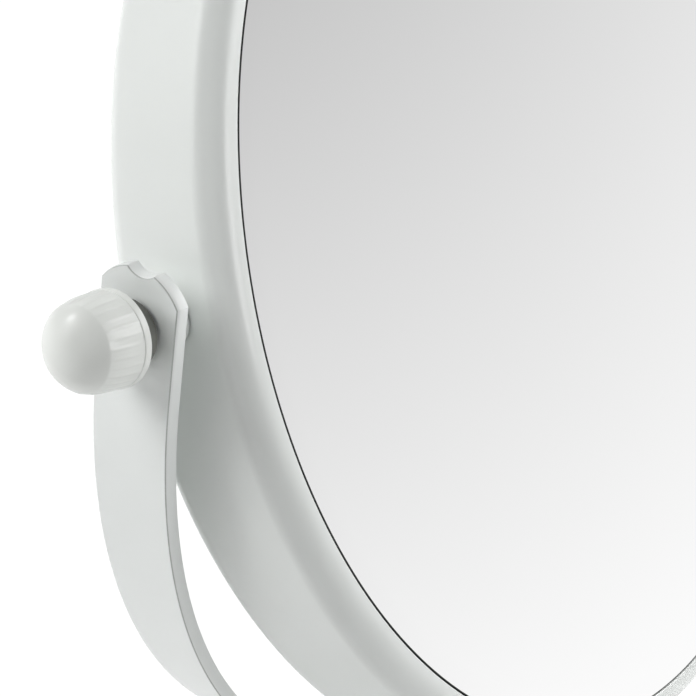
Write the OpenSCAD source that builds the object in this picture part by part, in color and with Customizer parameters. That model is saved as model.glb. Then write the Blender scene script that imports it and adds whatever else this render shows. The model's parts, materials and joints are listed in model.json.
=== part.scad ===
// Double-sided table makeup mirror: a round head with a magnifying mirror and a plain mirror,
// tilting between two thumb knobs in a bent strap yoke, on a stem and a weighted round base.
// Millimetres. Z is up, the magnifying mirror faces -Y, X is the tilt axis, and the origin is
// the centre of the underside of the base.

/* [Head] */
// Outside diameter of the head
head_d = 170; // [160:1:200]
// Depth of the head from one bezel to the other
head_depth = 19.7; // [18.5:0.1:24]
// Angle that the magnifying mirror is turned up by
head_tilt = 25; // [0:1:40]
// Width of the flat bezel round each mirror
bezel_w = 2.1; // [1.5:0.1:3]
// Radius where the side wall turns into the sloped shoulder
shoulder_r = 3; // [2:0.1:3.5]
// Slope of the shoulder from the side wall
shoulder_angle = 38; // [30:1:45]
// Width of the sloped shoulder
shoulder_w = 1.7; // [1:0.1:2.2]
// Radius where the shoulder turns into the bezel
rim_r = 1.5; // [1:0.1:1.8]
// Radius of the bezel's inner edge
lip_r = 0.3; // [0.2:0.05:0.5]
// Wall of the head behind the ledges
head_wall = 2.2; // [1.6:0.1:3]
// Width of the ledge that carries each mirror
ledge_w = 4.5; // [3:0.1:6]
// Thickness of the ledge
ledge_t = 1.6; // [1.2:0.1:1.8]

/* [Mirrors] */
// Thickness of each mirror glass
glass_t = 3; // [2.5:0.1:3.2]
// Radius of the magnifying mirror's hollow face
mirror_curve_r = 640; // [560:10:1200]
// Gap between the edge of the glass and the bezel
glass_gap = 0.3; // [0.2:0.05:0.5]
// How far the edge of the glass sits below the bezel
glass_recess = 0.15; // [0.1:0.05:0.3]
// Gap between the back of the magnifying mirror and the inner edge of its ledge
seat_gap = 0.1; // [0.05:0.05:0.3]
// Width of the foam tape
tape_w = 2.6; // [1.5:0.1:2.8]
// Thickness of the backing board behind the plain mirror
board_t = 1.5; // [1:0.1:2]

/* [Yoke] */
// Gap between the side of the head and the strap
strap_gap = 4.2; // [3.8:0.1:6]
// Thickness of the strap
strap_t = 2; // [1.6:0.1:2.4]
// Width of the strap
strap_w = 12.8; // [11:0.1:14]
// Angle that the straight ends of the strap lean outwards by
strap_flare = 5; // [0:0.5:7]
// Height of the strap's ends above the pivot holes
strap_end_h = 8.6; // [8:0.1:10]
// Radius of the rounded ends of the strap
strap_end_r = 7.7; // [7.3:0.1:9]
// Radius of the notch in each end of the strap
notch_r = 3.1; // [2.5:0.1:4]
// Depth of the notch
notch_depth = 1.15; // [0.4:0.05:1.3]

/* [Pivots] */
// Diameter of the pivot studs
stud_d = 4; // [3:0.1:4.4]
// Running clearance on the radius of a stud
stud_clear = 0.07; // [0.05:0.01:0.1]
// Diameter of the head of a stud
stud_head_d = 7.4; // [6.5:0.1:8]
// Height of the head of a stud
stud_head_h = 2.2; // [1.8:0.1:2.6]
// Diameter of the spacers between the head and the strap
spacer_d = 6.6; // [6:0.1:8]
// Height of the flat seat for a spacer on the side of the head
seat_h = 0.15; // [0.1:0.05:0.2]
// Margin of the seat round the spacer
seat_margin = 1; // [0.5:0.1:1.5]
// Distance from the side of the head in to the stud plate
boss_depth = 4; // [3.6:0.1:5]
// Margin of the pad round the stud plate
boss_margin = 1; // [0.5:0.1:2]
// Gap between the pieces that turn against each other
face_gap = 0.1; // [0.05:0.05:0.2]
// Diameter of the washers under the knobs
washer_d = 6.4; // [6:0.1:8]
// Thickness of the washers under the knobs
washer_t = 0.3; // [0.2:0.05:0.6]
// Thickness of the stud plates inside the head
plate_t = 1.2; // [0.8:0.1:1.4]
// Length of the stud plates
plate_l = 15; // [12:0.5:18]

/* [Knobs] */
// Radius of the knob's dome
dome_r = 6.45; // [6.2:0.05:6.8]
// Diameter over the ribs
rib_d = 12.5; // [12.2:0.1:12.8]
// Number of ribs round the knob
rib_count = 30; // [24:2:36]
// Radius of each groove between two ribs
groove_r = 0.5; // [0.4:0.05:0.55]
// Depth of each groove
groove_depth = 0.3; // [0.15:0.05:0.4]
// Diameter of the plain rim
rim_d = 12.2; // [12:0.1:12.4]
// Width of the plain rim
rim_w = 1.2; // [0.8:0.1:1.6]
// Distance from the dome's centre to the back of the rim
skirt_l = 3.3; // [3:0.1:4]
// Diameter of the neck behind the rim
neck_d = 8.8; // [8:0.1:9.4]
// Length of the neck
neck_l = 3.1; // [2.5:0.1:4]
// Diameter of the threaded insert
insert_d = 6; // [5.4:0.1:6.4]
// Depth of the insert's pocket
insert_l = 7; // [6:0.1:8]
// Room in the insert past the end of the stud
insert_room = 1; // [0.5:0.1:2]

/* [Stand] */
// Length of the stem tube
stem_l = 87.1; // [70:0.1:130]
// Diameter of the stem tube
stem_d = 12; // [11:0.5:14]
// Wall of the stem tube
stem_wall = 1.2; // [1:0.1:1.5]
// Length of each threaded plug in the stem
plug_l = 14; // [12:0.5:18]
// Diameter of the seat under the yoke
yoke_seat_d = 18; // [16:0.5:20]
// Height of the seat under the lowest line of the yoke
yoke_seat_h = 3.7; // [3:0.1:5]
// Diameter of the collar at the foot of the stem
collar_d = 20; // [18:0.5:24]
// Height of the collar
collar_h = 6; // [5:0.5:8]
// Width of the step round the collar
collar_step = 2; // [1:0.5:2.5]

/* [Base] */
// Diameter of the base
base_d = 124; // [112:1:140]
// Height of the base
base_h = 13; // [12:0.5:15]
// Height of the straight side of the base
base_side_h = 5; // [4:0.5:6]
// Thickness of the base shell
base_wall = 1.5; // [1.2:0.1:1.8]
// Thickness of the foot pad
pad_t = 2; // [1.6:0.1:2.4]
// Height of the shell's edge above the table
shell_lift = 0.8; // [0.5:0.1:1]
// Gap between the weight and the shell's side
weight_gap = 0.6; // [0.4:0.1:1]

/* [Screws] */
// Diameter of the base bolt and the yoke screw
screw_d = 6; // [5:0.1:6.5]
// Clearance on the radius of the screw holes
screw_clear = 0.2; // [0.1:0.05:0.3]
// Diameter of the yoke screw's flat head
yoke_head_d = 11; // [10:0.1:12]
// Height of the yoke screw's flat head
yoke_head_h = 1.5; // [1.2:0.1:1.6]
// Distance that the base bolt and the yoke screw stop short of the ends of the plugs
screw_room = 2; // [1:0.5:4]
// Gap round the washers in their recesses
washer_room = 0.5; // [0.3:0.1:1]
// Gap between the base bolt's head and the foot pad
bolt_room = 0.4; // [0.3:0.1:0.6]
// Thickness of the washer under the yoke screw
yoke_washer_t = 0.6; // [0.5:0.1:0.8]
// Diameter of the washer under the yoke screw
yoke_washer_d = 12; // [11:0.1:12.4]
// Diameter of the base bolt's head
bolt_head_d = 11; // [10:0.1:12]
// Height of the base bolt's head
bolt_head_h = 3; // [2.5:0.1:3.2]
// Thickness of the base bolt's washer
bolt_washer_t = 1; // [0.8:0.1:1.2]
// Diameter of the base bolt's washer
bolt_washer_d = 15; // [13:0.1:16]

/* [Hidden] */

// Fineness of large, middling, small, tiny and very shallow arcs, and a cut's overrun
fine = 160;
medium = 96;
small = 48;
tiny = 24;
shallow = 2400;
cut = 1;

// Head: the half section runs from the middle plane to the front bezel
head_r = head_d / 2;
half_depth = head_depth / 2;
shoulder_mid_r = head_r - shoulder_r;
slope_r = shoulder_mid_r + shoulder_r * cos(shoulder_angle);
rim_start_r = slope_r - shoulder_w * sin(shoulder_angle);
rim_mid_r = rim_start_r - rim_r * cos(shoulder_angle);
rim_mid_z = half_depth - rim_r;
rim_start_z = rim_mid_z + rim_r * sin(shoulder_angle);
slope_z = rim_start_z - shoulder_w * cos(shoulder_angle);
wall_end_z = slope_z - shoulder_r * sin(shoulder_angle);
opening_r = rim_mid_r - bezel_w;
glass_r = opening_r - glass_gap;
glass_front = half_depth - glass_recess;
ledge_r = opening_r - ledge_w;
inner_r = head_r - head_wall;
board_r = ledge_r - glass_gap;
tape_r = glass_r - glass_gap;

// Magnifying mirror: centre height of the sphere that its face is part of, and its back
curve_mid_z = glass_front + sqrt(pow(mirror_curve_r, 2) - pow(glass_r, 2));
function glass_back(r) = curve_mid_z - sqrt(pow(mirror_curve_r + glass_t, 2) - pow(r, 2));

// Ledges: both mirrors have the same ledge, which clears the hollow mirror's back
ledge_front = glass_back(ledge_r) - seat_gap;
ledge_back = ledge_front - ledge_t;
tape_in_r = tape_r - tape_w;
tape_skin = 0.02;

// Middle of the wall at the pivots, where the pads and the seats for the spacers grow from
boss_root = inner_r + head_wall / 2;

// Pivots: distances from the middle of the head, outwards along the tilt axis
boss_x = head_r - boss_depth;
seat_x = head_r + seat_h;
strap_in = head_r + strap_gap;
strap_r = strap_in + strap_t;
strap_in_x = strap_in / cos(strap_flare);
strap_out_x = strap_r / cos(strap_flare);
spacer_end_x = strap_in_x - spacer_d / 2 * tan(strap_flare) - face_gap;
washer_x = strap_out_x + washer_d / 2 * tan(strap_flare) + face_gap;
neck_x = washer_x + washer_t + face_gap;
rim_x = neck_x + neck_l;
dome_x = rim_x + skirt_l;
stud_r = stud_d / 2;
hole_r = stud_r + stud_clear;
stud_end_x = neck_x + insert_l - insert_room;
boss_half_w = ledge_back;
socket_share = 0.7;

// Stand: heights above the table
weight_top = base_h - base_wall;
stem_top = base_h + stem_l;
yoke_low = stem_top + yoke_seat_h;
yoke_floor = yoke_low + strap_t;
pivot_z = yoke_low + strap_r;
stem_r = stem_d / 2;
stem_bore_r = stem_r - stem_wall;
screw_r = screw_d / 2;
screw_hole_r = screw_r + screw_clear;
bolt_room_h = bolt_head_h + bolt_washer_t + bolt_room;
weight_flat_r = base_d / 2 - base_h + base_side_h - 2 * base_wall;

white = [0.93, 0.94, 0.93];
steel = [0.72, 0.73, 0.74];
glass = [0.82, 0.85, 0.87];

// Places a module in the head, which is tilted about the pivots
module in_head() translate([0, 0, pivot_z]) rotate([-head_tilt, 0, 0]) children();

// Turns a module's own axis to the head's, with its top at the front
module facing_front() in_head() rotate([90, 0, 0]) children();

// Turns a module's own axis to the head's, with its top at the back
module facing_back() in_head() rotate([-90, 0, 0]) children();

// Lays a module's own axis along the tilt axis, outwards on the left or the right
module on_left() in_head() rotate([0, -90, 0]) children();
module on_right() in_head() rotate([0, 90, 0]) children();

// Disc, ring or tube between two heights
module ring(r_out, r_in, low, high, facets = small) {
    translate([0, 0, low]) difference() {
        cylinder(r = r_out, h = high - low, $fn = facets);
        translate([0, 0, -cut]) cylinder(r = r_in, h = high - low + 2 * cut, $fn = facets);
    }
}

// Outline of one half of the head's section, from the middle plane to the bezel
module head_half_outline() {
    polygon([[ledge_r, 0], [head_r, 0], [head_r, wall_end_z], [slope_r, slope_z],
        [rim_start_r, rim_start_z], [rim_mid_r, half_depth], [opening_r + lip_r, half_depth],
        [opening_r, half_depth - lip_r], [ledge_r, half_depth - lip_r]]);
    translate([shoulder_mid_r, wall_end_z]) circle(r = shoulder_r, $fn = fine);
    translate([rim_mid_r, rim_mid_z]) circle(r = rim_r, $fn = fine);
    translate([opening_r + lip_r, half_depth - lip_r]) circle(r = lip_r, $fn = small);
}

// Hollow of one half of the head's section: the mirror's pocket and the space behind the ledge
module head_half_hollow() {
    translate([0, ledge_front]) square([opening_r, half_depth]);
    translate([0, -cut]) square([ledge_r, half_depth + 2 * cut]);
    translate([0, -cut]) square([inner_r, ledge_back + cut]);
}

module head_half_section() {
    difference() {
        head_half_outline();
        head_half_hollow();
    }
}

// Solid pad inside the wall for a stud plate, with the flat seat for the spacer outside
module pivot_boss() {
    intersection() {
        translate([-plate_l / 2 - boss_margin, -boss_half_w, boss_x])
            cube([plate_l + 2 * boss_margin, 2 * boss_half_w, boss_depth]);
        rotate([90, 0, 0]) cylinder(r = boss_root, h = head_depth, center = true, $fn = fine);
    }
    translate([0, 0, boss_root])
        cylinder(r = spacer_d / 2 + seat_margin, h = seat_x - boss_root, $fn = small);
}

module head_ring() color(white) {
    difference() {
        union() {
            facing_front() rotate_extrude($fn = fine) union() {
                head_half_section();
                mirror([0, 1]) head_half_section();
            }
            on_left() pivot_boss();
            on_right() pivot_boss();
        }
        on_left() cylinder(r = hole_r, h = head_d, $fn = small);
        on_right() cylinder(r = hole_r, h = head_d, $fn = small);
    }
}

// Slumped glass of even thickness, hollow at the front
module magnifying_mirror() color(glass) facing_front() rotate_extrude($fn = fine) intersection() {
    translate([0, -half_depth]) square([glass_r, half_depth + glass_front]);
    translate([0, curve_mid_z]) difference() {
        circle(r = mirror_curve_r + glass_t, $fn = shallow);
        circle(r = mirror_curve_r, $fn = shallow);
    }
}

module plain_mirror() color(glass) facing_back() translate([0, 0, glass_front - glass_t])
    cylinder(r = glass_r, h = glass_t, $fn = fine);

// Foam tape between the hollow mirror and its ledge, squeezed to the slope of the glass
module front_tape_ring() color([0.25, 0.25, 0.26]) facing_front() rotate_extrude($fn = fine)
    polygon([[tape_in_r, ledge_front], [tape_r, ledge_front],
        [tape_r, glass_back(tape_r) - tape_skin], [tape_in_r, glass_back(tape_in_r) - tape_skin]]);

module rear_tape_ring() color([0.25, 0.25, 0.26]) facing_back()
    ring(tape_r, tape_in_r, ledge_front, glass_front - glass_t, fine);

module backing_board() color([0.62, 0.55, 0.45]) facing_back()
    translate([0, 0, glass_front - glass_t - board_t]) cylinder(r = board_r, h = board_t, $fn = fine);

// Steel plate that spreads the pull of a stud on the inside of the wall
module stud_plate() translate([0, 0, boss_x - plate_t]) difference() {
    translate([-plate_l / 2, -boss_half_w, 0]) cube([plate_l, 2 * boss_half_w, plate_t]);
    translate([0, 0, -cut]) cylinder(r = hole_r, h = plate_t + 2 * cut, $fn = small);
}
module left_stud_plate() color(steel) on_left() stud_plate();
module right_stud_plate() color(steel) on_right() stud_plate();

// Pan-head stud from inside the head, through the strap, into the knob
module pivot_stud() {
    translate([0, 0, boss_x - plate_t - stud_head_h]) difference() {
        cylinder(d = stud_head_d, h = stud_head_h, $fn = small);
        translate([0, 0, -cut]) cylinder(d = stud_d * socket_share, h = cut + stud_head_h / 2, $fn = 6);
    }
    translate([0, 0, boss_x - plate_t]) cylinder(r = stud_r, h = stud_end_x - boss_x + plate_t,
        $fn = small);
}
module left_pivot_stud() color(steel) on_left() pivot_stud();
module right_pivot_stud() color(steel) on_right() pivot_stud();

module spacer() ring(spacer_d / 2, hole_r, seat_x, spacer_end_x);
module left_spacer() color(white) on_left() spacer();
module right_spacer() color(white) on_right() spacer();

module washer() ring(washer_d / 2, hole_r, washer_x, washer_x + washer_t);
module left_washer() color(steel) on_left() washer();
module right_washer() color(steel) on_right() washer();

// Outline over the ribs: a circle with a groove between each two ribs
module rib_outline() difference() {
    circle(d = rib_d, $fn = fine);
    for (i = [0 : rib_count - 1]) rotate(i * 360 / rib_count)
        translate([rib_d / 2 - groove_depth + groove_r, 0]) circle(r = groove_r, $fn = tiny);
}

// Domed thumb knob: the grooves run out on the dome, and a plain rim closes them at the back
module knob() difference() {
    union() {
        intersection() {
            union() {
                translate([0, 0, dome_x]) sphere(r = dome_r, $fn = medium);
                translate([0, 0, rim_x]) cylinder(r = dome_r, h = skirt_l, $fn = medium);
            }
            translate([0, 0, rim_x]) linear_extrude(skirt_l + dome_r + cut) rib_outline();
        }
        translate([0, 0, rim_x]) cylinder(d = rim_d, h = rim_w, $fn = medium);
        translate([0, 0, neck_x]) cylinder(d = neck_d, h = neck_l + rim_w, $fn = small);
    }
    translate([0, 0, neck_x - cut]) cylinder(d = insert_d, h = insert_l + cut, $fn = small);
}
module left_knob() color(white) on_left() knob();
module right_knob() color(white) on_right() knob();

module knob_insert() ring(insert_d / 2, hole_r, neck_x, neck_x + insert_l);
module left_knob_insert() color("goldenrod") on_left() knob_insert();
module right_knob_insert() color("goldenrod") on_right() knob_insert();

// Rounded and notched end of the strap, flat, from the height of the pivot hole upwards
module strap_end_outline() {
    difference() {
        intersection() {
            translate([-strap_w / 2, 0]) square([strap_w, strap_end_h + cut]);
            union() {
                translate([0, strap_end_h - strap_end_r]) circle(r = strap_end_r, $fn = fine);
                translate([-strap_w / 2, 0]) square([strap_w, strap_end_h - strap_end_r]);
            }
        }
        translate([0, strap_end_h + notch_r - notch_depth]) circle(r = notch_r, $fn = small);
    }
}

// Side view of the strap filled up to a radius: round below, straight where it leans outwards
module strap_side(radius, top_h) {
    touch = [radius * cos(strap_flare), -radius * sin(strap_flare)];
    top = touch + (radius * tan(strap_flare) + top_h) * [sin(strap_flare), cos(strap_flare)];
    difference() {
        circle(r = radius, $fn = fine);
        translate([-2 * radius, touch[1]]) square([4 * radius, 2 * radius]);
    }
    polygon([touch, top, [-top[0], top[1]], [-touch[0], touch[1]], [0, -radius / 2]]);
}

// What is cut away round one rounded end
module strap_end_cut() rotate([0, -strap_flare, 0]) translate([-strap_r - cut, 0, strap_r * tan(strap_flare)])
    rotate([90, 0, 90]) linear_extrude(strap_t + 2 * cut) difference() {
        translate([-strap_w, 0]) square([2 * strap_w, 3 * strap_end_h]);
        strap_end_outline();
    }

// Strap bent round below the head, with an end that leans outwards on each side
module yoke_strap() color(white) translate([0, 0, pivot_z]) difference() {
    rotate([90, 0, 0]) linear_extrude(strap_w, center = true) difference() {
        strap_side(strap_r, strap_end_h + cut);
        strap_side(strap_in, strap_end_h + 2 * cut);
    }
    strap_end_cut();
    mirror([1, 0, 0]) strap_end_cut();
    rotate([0, 90, 0]) cylinder(r = hole_r, h = 2 * strap_out_x + 2 * cut, center = true, $fn = small);
    translate([0, 0, -strap_r - cut]) cylinder(r = screw_hole_r, h = strap_t + 2 * cut, $fn = small);
    translate([0, 0, -strap_in])
        cylinder(r = yoke_washer_d / 2 + washer_room, h = strap_t, $fn = small);
}

module yoke_washer() color(steel)
    ring(yoke_washer_d / 2, screw_hole_r, yoke_floor, yoke_floor + yoke_washer_t);

// Low screw from inside the yoke down into the stem
module yoke_screw() color(steel) {
    seat_z = yoke_floor + yoke_washer_t;
    end_z = stem_top - plug_l + screw_room;
    translate([0, 0, seat_z]) difference() {
        cylinder(d = yoke_head_d, h = yoke_head_h, $fn = small);
        translate([0, 0, yoke_head_h / 3])
            cylinder(d = screw_d * socket_share, h = yoke_head_h, $fn = 6);
    }
    translate([0, 0, end_z]) cylinder(r = screw_r, h = seat_z - end_z, $fn = small);
}

// Seat between the stem and the strap, hollowed to the curve of the strap
module yoke_seat() color(white) difference() {
    translate([0, 0, stem_top]) cylinder(d = yoke_seat_d, h = yoke_seat_h + strap_t, $fn = small);
    translate([0, 0, pivot_z]) rotate([90, 0, 0])
        cylinder(r = strap_r, h = yoke_seat_d + 2 * cut, center = true, $fn = fine);
    translate([0, 0, stem_top - cut])
        cylinder(r = screw_hole_r, h = yoke_seat_h + 2 * cut, $fn = small);
}

module stem_tube() color(white) ring(stem_r, stem_bore_r, base_h, stem_top);

module stem_top_plug() color(steel) ring(stem_bore_r, screw_r, stem_top - plug_l, stem_top);

module stem_bottom_plug() color(steel) ring(stem_bore_r, screw_r, base_h, base_h + plug_l);

// Stepped collar that covers the joint of the stem and the base
module stem_collar() color(white) {
    ring(collar_d / 2, stem_r, base_h, base_h + collar_h / 2);
    ring(collar_d / 2 - collar_step, stem_r, base_h + collar_h / 2, base_h + collar_h);
}

// Half section of the base shell's outside: straight side, domed shoulder and flat top
module base_outline(inset) {
    r = base_d / 2 - inset;
    top = base_h - inset;
    arc_r = top - base_side_h;
    square([r, base_side_h]);
    square([r - arc_r, top]);
    translate([r - arc_r, base_side_h]) circle(r = arc_r, $fn = fine);
}

module base_shell() color(white) difference() {
    translate([0, 0, shell_lift]) rotate_extrude($fn = fine) intersection() {
        translate([0, -shell_lift]) difference() {
            base_outline(0);
            base_outline(base_wall);
        }
        square([base_d, base_h]);
    }
    translate([0, 0, weight_top - cut]) cylinder(r = screw_hole_r, h = base_wall + 2 * cut, $fn = small);
}

// Iron disc that fills the shell and meets its flat top, with room below for the bolt's head
module base_weight() color([0.3, 0.3, 0.31]) difference() {
    union() {
        rotate_extrude($fn = fine) intersection() {
            base_outline(base_wall + weight_gap);
            translate([0, pad_t]) square([base_d, base_h]);
        }
        translate([0, 0, pad_t]) cylinder(r = weight_flat_r, h = weight_top - pad_t, $fn = fine);
    }
    cylinder(r = screw_hole_r, h = base_h, $fn = small);
    cylinder(r = bolt_washer_d / 2 + washer_room, h = pad_t + bolt_room_h, $fn = small);
}

module base_washer() color(steel) ring(bolt_washer_d / 2, screw_hole_r,
    pad_t + bolt_room_h - bolt_washer_t, pad_t + bolt_room_h);

// Bolt from below through the weight and the shell into the stem
module base_bolt() color(steel) {
    seat_z = pad_t + bolt_room_h - bolt_washer_t;
    end_z = base_h + plug_l - screw_room;
    translate([0, 0, seat_z - bolt_head_h]) cylinder(d = bolt_head_d, h = bolt_head_h, $fn = 6);
    translate([0, 0, seat_z]) cylinder(r = screw_r, h = end_z - seat_z, $fn = small);
}

module base_pad() color([0.2, 0.2, 0.2])
    cylinder(r = base_d / 2 - base_wall - weight_gap, h = pad_t, $fn = fine);

head_ring();
magnifying_mirror();
plain_mirror();
front_tape_ring();
rear_tape_ring();
backing_board();
left_stud_plate();
right_stud_plate();
left_pivot_stud();
right_pivot_stud();
left_spacer();
right_spacer();
left_washer();
right_washer();
left_knob();
right_knob();
left_knob_insert();
right_knob_insert();
yoke_strap();
yoke_screw();
yoke_washer();
yoke_seat();
stem_tube();
stem_top_plug();
stem_bottom_plug();
stem_collar();
base_shell();
base_weight();
base_bolt();
base_washer();
base_pad();
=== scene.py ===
"""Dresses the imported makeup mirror: fine meshes for the pieces that show, materials, light and camera.

Lengths are in metres. Z is up, the magnifying mirror faces -Y, X is the tilt axis, and the origin is the
centre of the underside of the base.
"""

import json
import math

import bmesh
import bpy
from mathutils import Matrix, Vector


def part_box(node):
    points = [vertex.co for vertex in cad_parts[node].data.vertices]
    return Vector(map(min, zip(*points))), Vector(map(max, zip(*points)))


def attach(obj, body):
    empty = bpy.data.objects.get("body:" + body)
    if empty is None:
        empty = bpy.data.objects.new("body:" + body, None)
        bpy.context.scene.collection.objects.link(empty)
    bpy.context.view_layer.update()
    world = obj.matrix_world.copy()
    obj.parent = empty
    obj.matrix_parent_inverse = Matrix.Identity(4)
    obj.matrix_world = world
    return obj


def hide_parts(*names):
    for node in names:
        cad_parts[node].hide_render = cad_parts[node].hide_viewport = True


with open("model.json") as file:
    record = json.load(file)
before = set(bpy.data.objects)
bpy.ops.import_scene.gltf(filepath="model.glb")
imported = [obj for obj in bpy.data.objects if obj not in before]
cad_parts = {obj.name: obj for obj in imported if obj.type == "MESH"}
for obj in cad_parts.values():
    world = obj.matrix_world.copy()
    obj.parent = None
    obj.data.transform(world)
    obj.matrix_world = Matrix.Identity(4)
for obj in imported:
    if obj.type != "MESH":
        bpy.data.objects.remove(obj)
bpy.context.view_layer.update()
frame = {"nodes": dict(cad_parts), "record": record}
scene = bpy.context.scene

MM = 0.001

# Places taken from the frame
joints = {joint["name"]: joint for joint in frame["record"]["behaviour"]["joints"]}
pivot = Vector(joints["head_tilt"]["pos_m"])
pad_low, pad_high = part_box("base_pad")
shell_low, shell_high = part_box("base_shell")
strap_low, strap_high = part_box("yoke_strap")
spacer_low, spacer_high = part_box("right_spacer")
knob_low, knob_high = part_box("right_knob")
stem_low, stem_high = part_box("stem_tube")
seat_low, seat_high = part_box("yoke_seat")
collar_low, collar_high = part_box("stem_collar")
screw_low, screw_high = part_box("yoke_screw")

# Head section, from the outside in
head_tilt = math.radians(25)
head_r = 85 * MM
half_depth = 9.85 * MM
shoulder_r = 3 * MM
shoulder_angle = math.radians(38)
shoulder_w = 0.5 * MM
rim_r = 4 * MM
bezel_w = 0.87 * MM
lip_r = 0.3 * MM
ledge_w = 4.5 * MM
ledge_t = 1.6 * MM
head_wall = 2.2 * MM
ledge_gap = 0.1 * MM

# Mirrors
glass_t = 3 * MM
glass_gap = 0.24 * MM
glass_recess = 0.15 * MM
glass_arris = 0.1 * MM
mirror_curve_r = 640 * MM

# Strap
strap_t = 2 * MM
strap_w = strap_high.y - strap_low.y
strap_r = pivot.z - strap_low.z
strap_flare = math.radians(5)
strap_end_h = 8.6 * MM
strap_end_r = 7.7 * MM
notch_r = 3.1 * MM
notch_depth = 1.15 * MM
strap_edge_r = 1 * MM
strap_edge_start = math.radians(50)
strap_back_edge_r = 0.3 * MM

# Knobs
dome_r = 6.25 * MM
rib_count = 30
groove_start_r = 5.5 * MM
groove_end_r = 6.08 * MM
groove_fill = 0.35
ridge_share = 0.28
ridge_power = 3
knob_rim_r = 6.25 * MM
knob_rim_w = 1.2 * MM
knob_rim_step = 0.06 * MM
knob_edge_r = 0.2 * MM
neck_r = 4.4 * MM
neck_l = 3.1 * MM
insert_r = 3 * MM
insert_l = 7 * MM
neck_x = knob_low.x
rim_x = neck_x + neck_l
dome_x = knob_high.x - dome_r
dome_end_x = dome_x + math.sqrt(dome_r**2 - groove_start_r**2)
rim_front_x = rim_x + knob_rim_w

# Pivots, stem and base
spacer_r = 3.3 * MM
spacer_edge_r = 0.25 * MM
bore_r = 2.07 * MM
stem_r = 6 * MM
stem_wall = 1.2 * MM
stem_edge_r = 0.2 * MM
seat_r = 9 * MM
seat_edge_r = 0.35 * MM
collar_r = 10 * MM
collar_step = 2 * MM
collar_edge_r = 0.5 * MM
base_r = 62 * MM
base_side_h = 5 * MM
base_wall = 1.5 * MM
base_edge_r = 0.4 * MM
pad_r = 59.9 * MM
pad_edge_r = 0.5 * MM
screw_r = 3 * MM
screw_hole_r = 3.2 * MM
screw_head_r = 5.5 * MM
screw_head_h = 1.5 * MM
screw_edge_r = 0.35 * MM
screw_chamfer = 0.6 * MM
socket_share = 2 / 3
socket_r = 2.1 * MM

# Fineness of the meshes
TURN_STEPS = 360
HEAD_STEPS = 480
ARC_STEPS = 10
EDGE_STEPS = 5
SHOULDER_STEPS = 24
GLASS_RINGS = 40
STEPS_PER_RIB = 20
DOME_STEPS = 44
GROOVE_STEPS = 30
ARM_STEPS = 28
ROUND_STEPS = 180
ACROSS_STEPS = 24
STRAP_EDGE_STEPS = 8
BEVEL_STEPS = 4
SCREW_STEPS = 96
SCREW_EDGE_STEPS = 6

# Extra rings on the head's wall and the base's top, as shares of their height and radius
WALL_RING_SHARES = (0.34, 0.68)
TOP_RING_SHARES = (0.66, 0.33)

# Rings of the strap's rolled edge that are painted grey as the shade on that corner, and the bevel profile
# that is a plain arc
SHADED_EDGE_RINGS = 2
ROUND_PROFILE = 0.5

# Angles past which an edge stays sharp, in degrees
SMOOTH_ANGLE = 32
KNOB_SMOOTH_ANGLE = 18

# Least share of a mirror's normal that lies along its axis on its two faces
FACE_ALIGNMENT = 0.9

# Steps of a search by halves, the distance that joins vertices, and a length that counts as none
HALVINGS = 40
WELD_DISTANCE = 1e-7
TINY = 1e-9


def arc(centre, radius, start, end, steps=ARC_STEPS):
    """Points of an arc from one angle to another, in radians."""
    points = []
    for i in range(steps + 1):
        angle = start + (end - start) * i / steps
        points.append((centre[0] + radius * math.cos(angle), centre[1] + radius * math.sin(angle)))
    return points


def between(start, end, steps):
    """Evenly spaced values from start up to, but not including, end."""
    return [start + (end - start) * i / steps for i in range(steps)]


def new_object(name, mesh):
    """Links a mesh to the scene under a name."""
    obj = bpy.data.objects.new(name, mesh)
    scene.collection.objects.link(obj)
    return obj


def smooth(obj, angle=SMOOTH_ANGLE):
    """Shades an object smooth, with sharp edges past an angle."""
    for polygon in obj.data.polygons:
        polygon.use_smooth = True
    obj.data.set_sharp_from_angle(angle=math.radians(angle))
    return obj


def finish_mesh(bm, name, matrix=Matrix.Identity(4)):
    """Turns a bmesh into a smooth object with its faces outwards."""
    bmesh.ops.remove_doubles(bm, verts=bm.verts, dist=WELD_DISTANCE)
    bmesh.ops.transform(bm, matrix=matrix, verts=bm.verts)
    bmesh.ops.recalc_face_normals(bm, faces=bm.faces)
    mesh = bpy.data.meshes.new(name)
    bm.to_mesh(mesh)
    bm.free()
    return smooth(new_object(name, mesh))


def turned(name, outline, matrix=Matrix.Identity(4), steps=TURN_STEPS):
    """Turns a closed outline of (radius, height) points about the local Z axis."""
    bm = bmesh.new()
    rings = []
    for radius, height in outline:
        if radius < TINY:
            rings.append([bm.verts.new((0, 0, height))])
            continue
        ring = []
        for i in range(steps):
            angle = 2 * math.pi * i / steps
            ring.append(bm.verts.new((radius * math.cos(angle), radius * math.sin(angle), height)))
        rings.append(ring)
    for k, ring in enumerate(rings):
        after = rings[(k + 1) % len(rings)]
        if len(ring) == 1 and len(after) == 1:
            continue
        for i in range(steps):
            j = (i + 1) % steps
            corners = [ring[i % len(ring)], ring[j % len(ring)]]
            corners += [after[j % len(after)], after[i % len(after)]]
            bm.faces.new(list(dict.fromkeys(corners)))
    return finish_mesh(bm, name, matrix)


# Places of the head's pieces
in_head = Matrix.Translation(pivot) @ Matrix.Rotation(-head_tilt, 4, "X")
facing_front = in_head @ Matrix.Rotation(math.pi / 2, 4, "X")
facing_back = in_head @ Matrix.Rotation(-math.pi / 2, 4, "X")
on_side = {
    "left": in_head @ Matrix.Rotation(-math.pi / 2, 4, "Y"),
    "right": in_head @ Matrix.Rotation(math.pi / 2, 4, "Y"),
}

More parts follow.
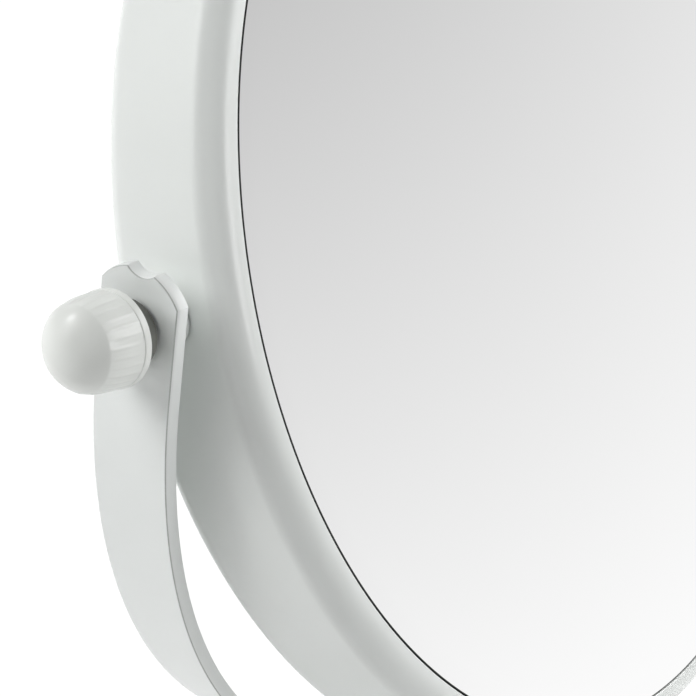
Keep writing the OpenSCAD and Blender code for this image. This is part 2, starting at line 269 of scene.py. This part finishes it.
# Corners of the head's section
shoulder_mid_r = head_r - shoulder_r
slope_r = shoulder_mid_r + shoulder_r * math.cos(shoulder_angle)
rim_start_r = slope_r - shoulder_w * math.sin(shoulder_angle)
rim_mid_r = rim_start_r - rim_r * math.cos(shoulder_angle)
rim_mid_z = half_depth - rim_r
slope_z = rim_mid_z + rim_r * math.sin(shoulder_angle) - shoulder_w * math.cos(shoulder_angle)
wall_end_z = slope_z - shoulder_r * math.sin(shoulder_angle)
opening_r = rim_mid_r - bezel_w
ledge_r = opening_r - ledge_w
glass_r = opening_r - glass_gap
glass_front = half_depth - glass_recess
curve_mid_z = glass_front + math.sqrt(mirror_curve_r**2 - glass_r**2)


def glass_back(radius):
    """Height of the hollow mirror's back at a radius."""
    return curve_mid_z - math.sqrt((mirror_curve_r + glass_t) ** 2 - radius**2)


ledge_front = glass_back(ledge_r) - ledge_gap
ledge_back = ledge_front - ledge_t


def head_outline():
    """Section of the head ring: up the outside at the front, and back inside."""
    half = [(head_r, wall_end_z * share) for share in WALL_RING_SHARES]
    half += arc((shoulder_mid_r, wall_end_z), shoulder_r, 0, shoulder_angle)
    half += arc((rim_mid_r, rim_mid_z), rim_r, shoulder_angle, math.pi / 2)
    half += arc((opening_r + lip_r, half_depth - lip_r), lip_r, math.pi / 2, math.pi)
    half += [(opening_r, ledge_front), (ledge_r, ledge_front), (ledge_r, ledge_back)]
    half += [(head_r - head_wall, ledge_back)]
    mirrored = [(radius, -height) for radius, height in reversed(half)]
    return half + mirrored


def make_head():
    shell = turned("head_shell", head_outline(), facing_front, steps=HEAD_STEPS)
    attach(shell, "head")
    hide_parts("head_ring")
    shell.data.materials.append(materials["white_plastic"])


def hollow_face(radius):
    """Height of the hollow mirror's face at a radius."""
    return curve_mid_z - math.sqrt(mirror_curve_r**2 - radius**2)


def flat_face(radius):
    """Height of the plain mirror's face, the same at every radius."""
    return glass_front


def flat_back(radius):
    """Height of the plain mirror's back, the same at every radius."""
    return glass_front - glass_t


def glass_outline(face, back):
    """Section of a glass disc with ground edges."""
    rings = GLASS_RINGS
    points = [(glass_r * i / rings, face(glass_r * i / rings)) for i in range(rings)]
    points += [(glass_r - glass_arris, face(glass_r)), (glass_r, face(glass_r) - glass_arris)]
    points += [(glass_r, back(glass_r) + glass_arris), (glass_r - glass_arris, back(glass_r))]
    points += [(glass_r * i / rings, back(glass_r * i / rings)) for i in reversed(range(rings))]
    return points


def make_mirror(name, node, face, back, matrix):
    glass = turned(name, glass_outline(face, back), matrix)
    glass.data.materials.append(materials["mirror_glass"])
    glass.data.materials.append(materials["glass_edge"])
    axis = matrix.to_3x3() @ Vector((0, 0, 1))
    for polygon in glass.data.polygons:
        if polygon.normal.dot(axis) < FACE_ALIGNMENT:
            polygon.material_index = 1
    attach(glass, "head")
    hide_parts(node)


def make_knob(side):
    """Smooth dome cut by straight grooves between thin ridges, with a plain rim and a neck painted dark grey
    as shade.
    """
    steps = rib_count * STEPS_PER_RIB
    dome_angle = math.asin((dome_end_x - dome_x) / dome_r)
    stations = [(dome_r * math.cos(angle), dome_x + dome_r * math.sin(angle), 0)
        for angle in between(math.pi / 2, dome_angle, DOME_STEPS)[1:]]
    for i in range(GROOVE_STEPS + 1):
        share = i / GROOVE_STEPS
        place = dome_end_x + (rim_front_x - dome_end_x) * share
        full = math.sqrt(dome_r**2 - max(0, place - dome_x) ** 2)
        floor = groove_start_r + (groove_end_r - groove_start_r) * share
        floor += (full - floor) * groove_fill
        stations.append((floor, place, max(0, full - floor) * ridge_share))
    edge = knob_edge_r
    tail = [(knob_rim_r - edge - knob_rim_step, rim_front_x)]
    tail += arc((knob_rim_r - edge, rim_front_x - edge), edge, math.pi / 2, 0, EDGE_STEPS)
    tail += arc((knob_rim_r - edge, rim_x + edge), edge, 0, -math.pi / 2, EDGE_STEPS)
    tail.append((neck_r + edge, rim_x))
    stations += [(radius, place, 0) for radius, place in tail]
    # From this ring on the faces take a dark grey that is painted shade on the neck, between rim and strap
    shaded_neck_start = len(stations) - 1
    tail = [(neck_r, rim_x - edge), (neck_r, neck_x + edge), (neck_r - edge, neck_x)]
    tail += [(insert_r, neck_x), (insert_r, neck_x + insert_l)]
    stations += [(radius, place, 0) for radius, place in tail]
    bm = bmesh.new()
    tip = bm.verts.new((0, 0, dome_x + dome_r))
    rings = []
    for radius, place, ridge_h in stations:
        ring = []
        for i in range(steps):
            angle = 2 * math.pi * i / steps
            r = radius + ridge_h * (0.5 + 0.5 * math.cos(rib_count * angle)) ** ridge_power
            ring.append(bm.verts.new((r * math.cos(angle), r * math.sin(angle), place)))
        rings.append(ring)
    end = bm.verts.new((0, 0, neck_x + insert_l))
    for i in range(steps):
        j = (i + 1) % steps
        bm.faces.new((tip, rings[0][i], rings[0][j]))
        bm.faces.new((end, rings[-1][j], rings[-1][i]))
    for k in range(len(rings) - 1):
        for i in range(steps):
            j = (i + 1) % steps
            face = bm.faces.new((rings[k][i], rings[k + 1][i], rings[k + 1][j], rings[k][j]))
            face.material_index = 1 if k >= shaded_neck_start else 0
    knob = finish_mesh(bm, f"{side}_thumb_knob", on_side[side])
    smooth(knob, KNOB_SMOOTH_ANGLE)
    knob.data.materials.append(materials["knob_plastic"])
    # Second slot: dark grey painted on the neck as its shade between rim and strap
    knob.data.materials.append(materials["neck_painted_shade"])
    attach(knob, f"knob_{side}")
    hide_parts(f"{side}_knob")


def strap_round(across, inset):
    """Height of the rounded end above the pivot hole at a place across the strap, drawn in by an inset."""
    return strap_end_h - strap_end_r + math.sqrt((strap_end_r - inset) ** 2 - across**2)


def notch_floor(across, inset):
    """Height of the notch's round floor above the pivot hole, drawn in by an inset."""
    return strap_end_h + notch_r - notch_depth - math.sqrt((notch_r + inset) ** 2 - across**2)


def notch_half_width(inset):
    """Half width of the notch where it meets the rounded end."""
    low, high = 0, notch_r
    for _ in range(HALVINGS):
        middle = (low + high) / 2
        if notch_floor(middle, inset) < strap_round(middle, inset):
            low = middle
        else:
            high = middle
    return low


def strap_line(top):
    """Outer line of the strap from its left end round to its right end: (x, z, inward direction)."""
    lean = (math.sin(strap_flare), math.cos(strap_flare))
    touch = (strap_r * math.cos(strap_flare), -strap_r * math.sin(strap_flare))
    arm = strap_r * math.tan(strap_flare) + top
    line = []
    for share in between(1, 0, ARM_STEPS):
        place = (touch[0] + lean[0] * arm * share, touch[1] + lean[1] * arm * share)
        line.append((-place[0], place[1], math.cos(strap_flare), math.sin(strap_flare)))
    for i in range(ROUND_STEPS + 1):
        angle = math.pi + strap_flare + (math.pi - 2 * strap_flare) * i / ROUND_STEPS
        out_x, out_z = math.cos(angle), math.sin(angle)
        line.append((strap_r * out_x, strap_r * out_z, -out_x, -out_z))
    for i in range(1, ARM_STEPS + 1):
        place = (touch[0] + lean[0] * arm * i / ARM_STEPS, touch[1] + lean[1] * arm * i / ARM_STEPS)
        line.append((place[0], place[1], -math.cos(strap_flare), math.sin(strap_flare)))
    return line


def strap_layer(inset, depth):
    """Places on the strap at a depth below its outer face, row by row across it."""
    side_w = strap_w / 2 - inset
    notch_w = notch_half_width(inset)
    places = between(-side_w, -notch_w, ACROSS_STEPS)
    places += between(-notch_w, notch_w, ACROSS_STEPS)
    places += between(notch_w, side_w, ACROSS_STEPS)
    places.append(side_w)
    rows = []
    for across in places:
        inside = abs(across) < notch_w - TINY
        top = notch_floor(across, inset) if inside else strap_round(across, inset)
        rows.append([(x + dx * depth, across, z + dz * depth) for x, z, dx, dz in strap_line(top)])
    return rows


def row_border(rows):
    """Way round the edge of a grid."""
    last, end = len(rows) - 1, len(rows[0]) - 1
    border = [rows[a][0] for a in range(last)]
    border += [rows[last][b] for b in range(end)]
    border += [rows[a][end] for a in range(last, 0, -1)]
    border += [rows[0][b] for b in range(end, 0, -1)]
    return border


def make_strap():
    """Flat strap bent round under the head, with a rolled outer edge and leaning, notched ends."""
    bm = bmesh.new()
    angles = between(strap_edge_start, math.pi / 2, STRAP_EDGE_STEPS) + [math.pi / 2]
    start_cos = math.cos(strap_edge_start)
    profile = [(strap_edge_r * (1 - math.sin(angle)), strap_edge_r * (start_cos - math.cos(angle)))
        for angle in angles]
    front = [[bm.verts.new(place) for place in row] for row in strap_layer(*profile[0])]
    back = [[bm.verts.new(place) for place in row] for row in strap_layer(0, strap_t)]
    for rows in (front, back):
        for row, after in zip(rows, rows[1:]):
            for b in range(len(row) - 1):
                bm.faces.new((row[b], after[b], after[b + 1], row[b + 1]))
    rims = [row_border(front)]
    for inset, depth in profile[1:]:
        rims.append([bm.verts.new(place) for place in row_border(strap_layer(inset, depth))])
    rims.append(row_border(back))
    for i in range(len(rims) - 1):
        rim, after = rims[i], rims[i + 1]
        for k in range(len(rim)):
            j = (k + 1) % len(rim)
            face = bm.faces.new((rim[k], rim[j], after[j], after[k]))
            # The first rings of the rolled edge take a grey that is painted shade on the corner
            face.material_index = 1 if i < SHADED_EDGE_RINGS else 0
    bmesh.ops.recalc_face_normals(bm, faces=bm.faces)
    edges = [bm.edges.get((rims[-1][k - 1], rims[-1][k])) for k in range(len(rims[-1]))]
    bmesh.ops.bevel(bm, geom=edges, offset=strap_back_edge_r, offset_type="OFFSET", segments=BEVEL_STEPS,
        profile=ROUND_PROFILE, affect="EDGES", clamp_overlap=True)
    strap = finish_mesh(bm, "bent_strap", Matrix.Translation(pivot))
    strap.data.materials.append(materials["white_paint"])
    strap.data.materials.append(materials["edge_painted_shade"])
    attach(strap, "stand")
    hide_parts("yoke_strap")


def rounded(corners, radius, steps=EDGE_STEPS):
    """Closed outline through corners, each cut by a small arc of a radius."""
    points = []
    for i, corner in enumerate(corners):
        corner = Vector(corner)
        before = (Vector(corners[i - 1]) - corner).normalized()
        after = (Vector(corners[(i + 1) % len(corners)]) - corner).normalized()
        half = before.angle(after) / 2
        middle = corner + (before + after).normalized() * radius / math.sin(half)
        start = corner + before * radius / math.tan(half) - middle
        end = corner + after * radius / math.tan(half) - middle
        turn = start.angle_signed(end)
        for k in range(steps + 1):
            angle = -turn * k / steps
            turned_start = Vector((start.x * math.cos(angle) - start.y * math.sin(angle),
                start.x * math.sin(angle) + start.y * math.cos(angle)))
            points.append(tuple(middle + turned_start))
    return points


def make_turned(name, node, body, slot, outline, matrix=Matrix.Identity(4)):
    """Turned piece that stands for a node."""
    piece = turned(name, outline, matrix)
    piece.data.materials.append(materials[slot])
    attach(piece, body)
    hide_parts(node)


def make_spacer(side):
    outline = rounded([(bore_r, spacer_low.x), (spacer_r, spacer_low.x), (spacer_r, spacer_high.x),
        (bore_r, spacer_high.x)], spacer_edge_r)
    make_turned(f"{side}_spacer_bush", f"{side}_spacer", "head", "white_plastic", outline, on_side[side])


def make_stem():
    outline = rounded([(stem_r - stem_wall, stem_low.z), (stem_r, stem_low.z), (stem_r, stem_high.z),
        (stem_r - stem_wall, stem_high.z)], stem_edge_r)
    make_turned("stem_pole", "stem_tube", "stand", "white_paint", outline)


def make_collar():
    middle = (collar_low.z + collar_high.z) / 2
    outline = rounded([(stem_r, collar_low.z), (collar_r, collar_low.z), (collar_r, middle),
        (collar_r - collar_step, middle), (collar_r - collar_step, collar_high.z), (stem_r, collar_high.z)],
        collar_edge_r)
    make_turned("foot_collar", "stem_collar", "stand", "white_plastic", outline)


def make_seat():
    """Short drum under the strap, hollowed on top to the strap's curve."""
    seat = turned("strap_seat", rounded([(screw_hole_r, seat_low.z), (seat_r, seat_low.z),
        (seat_r, seat_high.z), (screw_hole_r, seat_high.z)], seat_edge_r))
    for vertex in seat.data.vertices:
        saddle = pivot.z - math.sqrt(strap_r**2 - vertex.co.x**2)
        share = (vertex.co.z - seat_low.z) / (seat_high.z - seat_low.z)
        vertex.co.z = seat_low.z + share * (saddle - seat_low.z)
    seat.data.materials.append(materials["white_plastic"])
    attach(seat, "stand")
    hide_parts("yoke_seat")


def make_base():
    """Thin shell with a straight side, a domed shoulder and a flat top."""
    shoulder = shell_high.z - base_side_h
    flat_r = base_r - shoulder
    edge = base_edge_r
    outline = arc((base_r - edge, shell_low.z + edge), edge, -math.pi / 2, 0, EDGE_STEPS)
    outline += arc((flat_r, base_side_h), shoulder, 0, math.pi / 2, SHOULDER_STEPS)
    outline += [(flat_r * share, shell_high.z) for share in TOP_RING_SHARES]
    outline += [(screw_hole_r, shell_high.z), (screw_hole_r, shell_high.z - base_wall)]
    outline += arc((flat_r, base_side_h), shoulder - base_wall, math.pi / 2, 0, SHOULDER_STEPS)
    outline += [(base_r - base_wall, shell_low.z)]
    make_turned("base_cover", "base_shell", "stand", "white_paint", outline)


def make_pad():
    outline = [(0, pad_low.z)]
    outline += arc((pad_r - pad_edge_r, pad_low.z + pad_edge_r), pad_edge_r, -math.pi / 2, 0, EDGE_STEPS)
    outline += [(pad_r, pad_high.z), (0, pad_high.z)]
    make_turned("foot_pad", "base_pad", "stand", "pad_rubber", outline)


def make_yoke_screw():
    """Low screw with a softened head and a six-sided socket."""
    head_low = screw_high.z - screw_head_h
    socket_low = screw_high.z - screw_head_h * socket_share
    steps = SCREW_STEPS
    soft = screw_edge_r
    plain = arc((screw_head_r - soft, screw_high.z - soft), soft, math.pi / 2, 0, SCREW_EDGE_STEPS)
    plain += [(screw_head_r, head_low), (screw_r, head_low), (screw_r, screw_low.z + screw_chamfer)]
    plain.append((screw_r - screw_chamfer, screw_low.z))
    stations = [(socket_r, socket_low, True), (socket_r, screw_high.z, True)]
    stations += [(radius, height, False) for radius, height in plain]
    bm = bmesh.new()
    rings = []
    for radius, height, six_sided in stations:
        ring = []
        for i in range(steps):
            angle = 2 * math.pi * i / steps
            turn = (angle + math.pi / 6) % (math.pi / 3) - math.pi / 6
            r = radius * math.cos(math.pi / 6) / math.cos(turn) if six_sided else radius
            ring.append(bm.verts.new((r * math.cos(angle), r * math.sin(angle), height)))
        rings.append(ring)
    for ring, after in zip(rings, rings[1:]):
        for i in range(steps):
            j = (i + 1) % steps
            bm.faces.new((ring[i], ring[j], after[j], after[i]))
    bm.faces.new(rings[0])
    bm.faces.new(rings[-1])
    screw = finish_mesh(bm, "yoke_cap_screw")
    screw.data.materials.append(materials["zinc_steel"])
    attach(screw, "stand")
    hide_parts("yoke_screw")


# Materials
PLASTIC_IOR = 1.5
COAT_ROUGHNESS = 0.14


def new_material(name):
    """A node material with one shader: the material, its nodes, its links and the shader."""
    material = bpy.data.materials.new(name)
    material.use_nodes = True
    nodes = material.node_tree.nodes
    nodes.clear()
    output = nodes.new("ShaderNodeOutputMaterial")
    shader = nodes.new("ShaderNodeBsdfPrincipled")
    material.node_tree.links.new(shader.outputs["BSDF"], output.inputs["Surface"])
    return material, nodes, material.node_tree.links, shader


def noise(nodes, links, scale, detail=2.0, rough=0.5):
    """Noise in the object's own space, with features about 1/scale metres wide."""
    place = nodes.new("ShaderNodeTexCoord")
    texture = nodes.new("ShaderNodeTexNoise")
    texture.inputs["Scale"].default_value = scale
    texture.inputs["Detail"].default_value = detail
    texture.inputs["Roughness"].default_value = rough
    links.new(place.outputs["Object"], texture.inputs["Vector"])
    return texture.outputs["Fac"]


def spread(nodes, links, value, low, high):
    """Maps noise around its middle to a range."""
    node = nodes.new("ShaderNodeMapRange")
    node.inputs["From Min"].default_value = 0.3
    node.inputs["From Max"].default_value = 0.7
    node.inputs["To Min"].default_value = low
    node.inputs["To Max"].default_value = high
    links.new(value, node.inputs["Value"])
    return node.outputs["Result"]


def tint(nodes, links, value, dark, light):
    """Colour between two colours by noise."""
    node = nodes.new("ShaderNodeMix")
    node.data_type = "RGBA"
    node.inputs["A"].default_value = (*dark, 1)
    node.inputs["B"].default_value = (*light, 1)
    links.new(value, node.inputs["Factor"])
    return node.outputs["Result"]


def bump(nodes, links, shader, height, distance):
    """Raises a shader's surface by a height pattern, at most by a distance."""
    node = nodes.new("ShaderNodeBump")
    node.inputs["Strength"].default_value = 1
    node.inputs["Distance"].default_value = distance
    links.new(height, node.inputs["Height"])
    links.new(node.outputs["Normal"], shader.inputs["Normal"])


def coated_white(name, colour, roughness, peel_scale, peel_depth, coat):
    """Glossy white with a faint orange peel, uneven gloss and a slight drift in tone."""
    material, nodes, links, shader = new_material(name)
    drift = noise(nodes, links, 30, detail=2)
    dark = tuple(c * 0.993 for c in colour)
    share = spread(nodes, links, drift, 0, 1)
    links.new(tint(nodes, links, share, dark, colour), shader.inputs["Base Color"])
    gloss = noise(nodes, links, 120, detail=3)
    links.new(spread(nodes, links, gloss, roughness * 0.95, roughness * 1.06), shader.inputs["Roughness"])
    shader.inputs["IOR"].default_value = PLASTIC_IOR
    shader.inputs["Coat Weight"].default_value = coat
    shader.inputs["Coat Roughness"].default_value = COAT_ROUGHNESS
    bump(nodes, links, shader, noise(nodes, links, peel_scale, detail=2), peel_depth)
    return material


def metal(name, colour, roughness, scale, depth):
    """Plated or machined metal with uneven roughness and fine marks."""
    material, nodes, links, shader = new_material(name)
    shader.inputs["Metallic"].default_value = 1
    dark = tuple(c * 0.9 for c in colour)
    marks = noise(nodes, links, scale, detail=4, rough=0.6)
    share = spread(nodes, links, marks, 0, 1)
    links.new(tint(nodes, links, share, dark, colour), shader.inputs["Base Color"])
    links.new(spread(nodes, links, marks, roughness * 0.7, roughness * 1.4), shader.inputs["Roughness"])
    bump(nodes, links, shader, marks, depth)
    return material


def matt(name, colour, roughness, scale, depth):
    """Plain rough solid such as rubber, foam or board, and the greys painted as shade on the strap's edge and
    the knob's neck.
    """
    material, nodes, links, shader = new_material(name)
    dark = tuple(c * 0.8 for c in colour)
    grain = noise(nodes, links, scale, detail=6, rough=0.65)
    share = spread(nodes, links, grain, 0, 1)
    links.new(tint(nodes, links, share, dark, colour), shader.inputs["Base Color"])
    rough = spread(nodes, links, grain, roughness * 0.9, min(1, roughness * 1.1))
    links.new(rough, shader.inputs["Roughness"])
    bump(nodes, links, shader, grain, depth)
    return material


def mirror_material():
    """Silvered face with a trace of haze."""
    material, nodes, links, shader = new_material("mirror_glass")
    shader.inputs["Metallic"].default_value = 1
    shader.inputs["Base Color"].default_value = (0.97, 0.97, 0.97, 1)
    haze = noise(nodes, links, 60, detail=5, rough=0.6)
    links.new(spread(nodes, links, haze, 0.012, 0.03), shader.inputs["Roughness"])
    return material


materials = {
    "white_plastic": coated_white("white_plastic", (0.80, 0.825, 0.805), 0.32, 1300, 0.0012 * MM, 0.2),
    "knob_plastic": coated_white("knob_plastic", (0.77, 0.79, 0.76), 0.42, 1600, 0.001 * MM, 0.4),
    "white_paint": coated_white("white_paint", (0.80, 0.825, 0.81), 0.36, 1100, 0.0016 * MM, 0.15),
    "mirror_glass": mirror_material(),
    "glass_edge": matt("glass_edge", (0.008, 0.01, 0.009), 0.5, 1500, 0.004 * MM),
    # Grey painted on the strap's rolled outer corner as the shade that falls there
    "edge_painted_shade": matt("edge_painted_shade", (0.5, 0.52, 0.5), 0.45, 900, 0.006 * MM),
    # Dark grey painted on the knob's neck as the shade between its rim and the strap
    "neck_painted_shade": matt("neck_painted_shade", (0.17, 0.175, 0.155), 0.5, 900, 0.006 * MM),
    "foam_tape": matt("foam_tape", (0.06, 0.06, 0.065), 0.9, 2500, 0.03 * MM),
    "grey_board": matt("grey_board", (0.4, 0.36, 0.3), 0.9, 1800, 0.02 * MM),
    "zinc_steel": metal("zinc_steel", (0.62, 0.62, 0.6), 0.28, 1500, 0.004 * MM),
    "insert_brass": metal("insert_brass", (0.7, 0.52, 0.22), 0.3, 1500, 0.004 * MM),
    "base_iron": matt("base_iron", (0.09, 0.09, 0.095), 0.75, 1200, 0.03 * MM),
    "pad_rubber": matt("pad_rubber", (0.02, 0.02, 0.02), 0.85, 1600, 0.02 * MM),
}

# CAD nodes take their finish from the record's slots
for subpart in frame["record"]["subparts"]:
    mesh = frame["nodes"][subpart["node"]].data
    mesh.materials.clear()
    mesh.materials.append(materials[subpart["material_slot"]])

make_head()
make_mirror("front_mirror", "magnifying_mirror", hollow_face, glass_back, facing_front)
make_mirror("rear_mirror", "plain_mirror", flat_face, flat_back, facing_back)
make_knob("left")
make_knob("right")
make_strap()
make_spacer("left")
make_spacer("right")
make_stem()
make_collar()
make_seat()
make_base()
make_pad()
make_yoke_screw()

# Studio


def seen_directly(nodes, links):
    """1 for rays that show the background itself: straight on, in gloss or through glass."""
    path = nodes.new("ShaderNodeLightPath")
    first = nodes.new("ShaderNodeMath")
    first.operation = "MAXIMUM"
    links.new(path.outputs["Is Camera Ray"], first.inputs[0])
    links.new(path.outputs["Is Glossy Ray"], first.inputs[1])
    both = nodes.new("ShaderNodeMath")
    both.operation = "MAXIMUM"
    links.new(first.outputs["Value"], both.inputs[0])
    links.new(path.outputs["Is Transmission Ray"], both.inputs[1])
    return both.outputs["Value"]


def multiply(nodes, links, a, b):
    node = nodes.new("ShaderNodeMath")
    node.operation = "MULTIPLY"
    links.new(a, node.inputs[0])
    links.new(b, node.inputs[1])
    return node.outputs["Value"]


def ramp(nodes, links, value, from_min, from_max, to_min, to_max):
    """Maps a value from one range to another, clamped and eased."""
    node = nodes.new("ShaderNodeMapRange")
    node.interpolation_type = "SMOOTHSTEP"
    node.inputs["From Min"].default_value = from_min
    node.inputs["From Max"].default_value = from_max
    node.inputs["To Min"].default_value = to_min
    node.inputs["To Max"].default_value = to_max
    links.new(value, node.inputs["Value"])
    return node.outputs["Result"]


# Share of the floor's look that is a white glow, near the base and far away, where it changes from one to the
# other, and the glow's strength
GLOW_NEAR = 0.75
GLOW_FAR = 1
GLOW_START = 0.5
GLOW_END = 1.5
GLOW_STRENGTH = 1.12
FLOOR_HALF_WIDTH = 6


def make_floor():
    """Pale floor that shows white to the camera and keeps the object's shadow near the base."""
    bm = bmesh.new()
    bmesh.ops.create_grid(bm, x_segments=2, y_segments=2, size=FLOOR_HALF_WIDTH)
    floor = finish_mesh(bm, "floor")
    material, nodes, links, shader = new_material("floor_pale")
    shader.inputs["Base Color"].default_value = (0.85, 0.85, 0.85, 1)
    shader.inputs["Roughness"].default_value = 0.9
    glow = nodes.new("ShaderNodeEmission")
    glow.inputs["Strength"].default_value = GLOW_STRENGTH
    place = nodes.new("ShaderNodeTexCoord")
    distance = nodes.new("ShaderNodeVectorMath")
    distance.operation = "LENGTH"
    links.new(place.outputs["Object"], distance.inputs[0])
    share = ramp(nodes, links, distance.outputs["Value"], GLOW_START, GLOW_END, GLOW_NEAR, GLOW_FAR)
    mix = nodes.new("ShaderNodeMixShader")
    links.new(multiply(nodes, links, share, seen_directly(nodes, links)), mix.inputs["Fac"])
    links.new(shader.outputs["BSDF"], mix.inputs[1])
    links.new(glow.outputs["Emission"], mix.inputs[2])
    output = next(node for node in nodes if node.type == "OUTPUT_MATERIAL")
    links.new(mix.outputs["Shader"], output.inputs["Surface"])
    floor.data.materials.append(material)


make_floor()

# World: a little soft light from all round. Mirrors and gloss see a backdrop that is white low down in
# front and greyer upwards and to the back, and the camera sees white.
AMBIENT = 0.1
BACKDROP_TURN = (-0.456, -1.539, -1.057)
BACKDROP_LEVEL = 0.54
BACKDROP_LOW = 0.55


def make_world():
    world = bpy.data.worlds.new("studio")
    scene.world = world
    world.use_nodes = True
    nodes = world.node_tree.nodes
    links = world.node_tree.links
    nodes.clear()
    output = nodes.new("ShaderNodeOutputWorld")
    mix = nodes.new("ShaderNodeMixShader")
    light = nodes.new("ShaderNodeBackground")
    light.inputs["Strength"].default_value = AMBIENT
    light.inputs["Color"].default_value = (1, 1, 1, 1)
    shown = nodes.new("ShaderNodeBackground")
    shown.inputs["Color"].default_value = (1, 1, 1, 1)
    direction = nodes.new("ShaderNodeTexCoord")
    slope = nodes.new("ShaderNodeVectorMath")
    slope.operation = "DOT_PRODUCT"
    slope.inputs[1].default_value = BACKDROP_TURN
    links.new(direction.outputs["Generated"], slope.inputs[0])
    level = nodes.new("ShaderNodeMapRange")
    level.inputs["From Min"].default_value = BACKDROP_LOW - BACKDROP_LEVEL
    level.inputs["From Max"].default_value = 1 - BACKDROP_LEVEL
    level.inputs["To Min"].default_value = BACKDROP_LOW
    level.inputs["To Max"].default_value = 1
    links.new(slope.outputs["Value"], level.inputs["Value"])
    path = nodes.new("ShaderNodeLightPath")
    strength = nodes.new("ShaderNodeMath")
    strength.operation = "MAXIMUM"
    links.new(level.outputs["Result"], strength.inputs[0])
    links.new(path.outputs["Is Camera Ray"], strength.inputs[1])
    links.new(strength.outputs["Value"], shown.inputs["Strength"])
    links.new(seen_directly(nodes, links), mix.inputs["Fac"])
    links.new(light.outputs["Background"], mix.inputs[1])
    links.new(shown.outputs["Background"], mix.inputs[2])
    links.new(mix.outputs["Shader"], output.inputs["Surface"])


make_world()

LAMP_DISTANCE = 1.6


def softbox(name, azimuth, elevation, spread_angle, radiance, in_gloss=True, in_diffuse=True):
    """Round lamp aimed at the pivots, as wide as an angle seen from there and of an even brightness."""
    azimuth, elevation = math.radians(azimuth), math.radians(elevation)
    aim = Vector((math.cos(elevation) * math.cos(azimuth), math.cos(elevation) * math.sin(azimuth),
        math.sin(elevation)))
    radius = LAMP_DISTANCE * math.tan(math.radians(spread_angle))
    lamp = bpy.data.lights.new(name, "AREA")
    lamp.shape = "DISK"
    lamp.size = 2 * radius
    lamp.energy = radiance * (math.pi * radius) ** 2
    obj = bpy.data.objects.new(name, lamp)
    scene.collection.objects.link(obj)
    obj.location = pivot + aim * LAMP_DISTANCE
    obj.rotation_euler = (-aim).to_track_quat("-Z", "Y").to_euler()
    obj.visible_camera = False
    obj.visible_glossy = in_gloss
    obj.visible_diffuse = in_diffuse


softbox("key_softbox", 140, 22, 12, 9.2, in_gloss=False)
softbox("key_high_softbox", 140, 40, 12, 5.3, in_gloss=False)
softbox("back_low_softbox", 120, 5, 12, 0.85, in_gloss=False)
softbox("back_high_softbox", 120, 40, 12, 1.45, in_gloss=False)
softbox("dome_highlight", 125, 40, 8, 8.5, in_diffuse=False)
softbox("front_softbox", 285, 25, 12, 4.9)
softbox("front_right_softbox", 312, 38, 15, 3.2)
softbox("right_softbox", 330, 30, 12, 1.75)
softbox("far_right_softbox", 350, 25, 15, 6.1)
softbox("high_softbox", 300, 60, 15, 0.95)
softbox("back_right_softbox", 15, 25, 15, 1.15)
softbox("back_softbox", 75, 35, 15, 1.1)

# Camera: placed by a fit to the photograph's outlines
FRAME_PIXELS = 696
FOCAL_PIXELS = 1962
SENSOR = 36
CLIP_START = 0.01
camera_place = pivot + Vector((-263.5, -142.0, 94.5)) * MM
camera_aim = Vector((0.7764, 0.5015, -0.3817))
camera_roll = math.radians(10.67)


def make_camera():
    data = bpy.data.cameras.new("camera")
    data.sensor_width = SENSOR
    data.lens = FOCAL_PIXELS / FRAME_PIXELS * SENSOR
    data.clip_start = CLIP_START
    camera = bpy.data.objects.new("camera", data)
    scene.collection.objects.link(camera)
    turn = camera_aim.to_track_quat("-Z", "Y").to_matrix().to_4x4()
    camera.matrix_world = Matrix.Translation(camera_place) @ turn @ Matrix.Rotation(camera_roll, 4, "Z")
    scene.camera = camera


make_camera()
scene.view_settings.view_transform = "Standard"
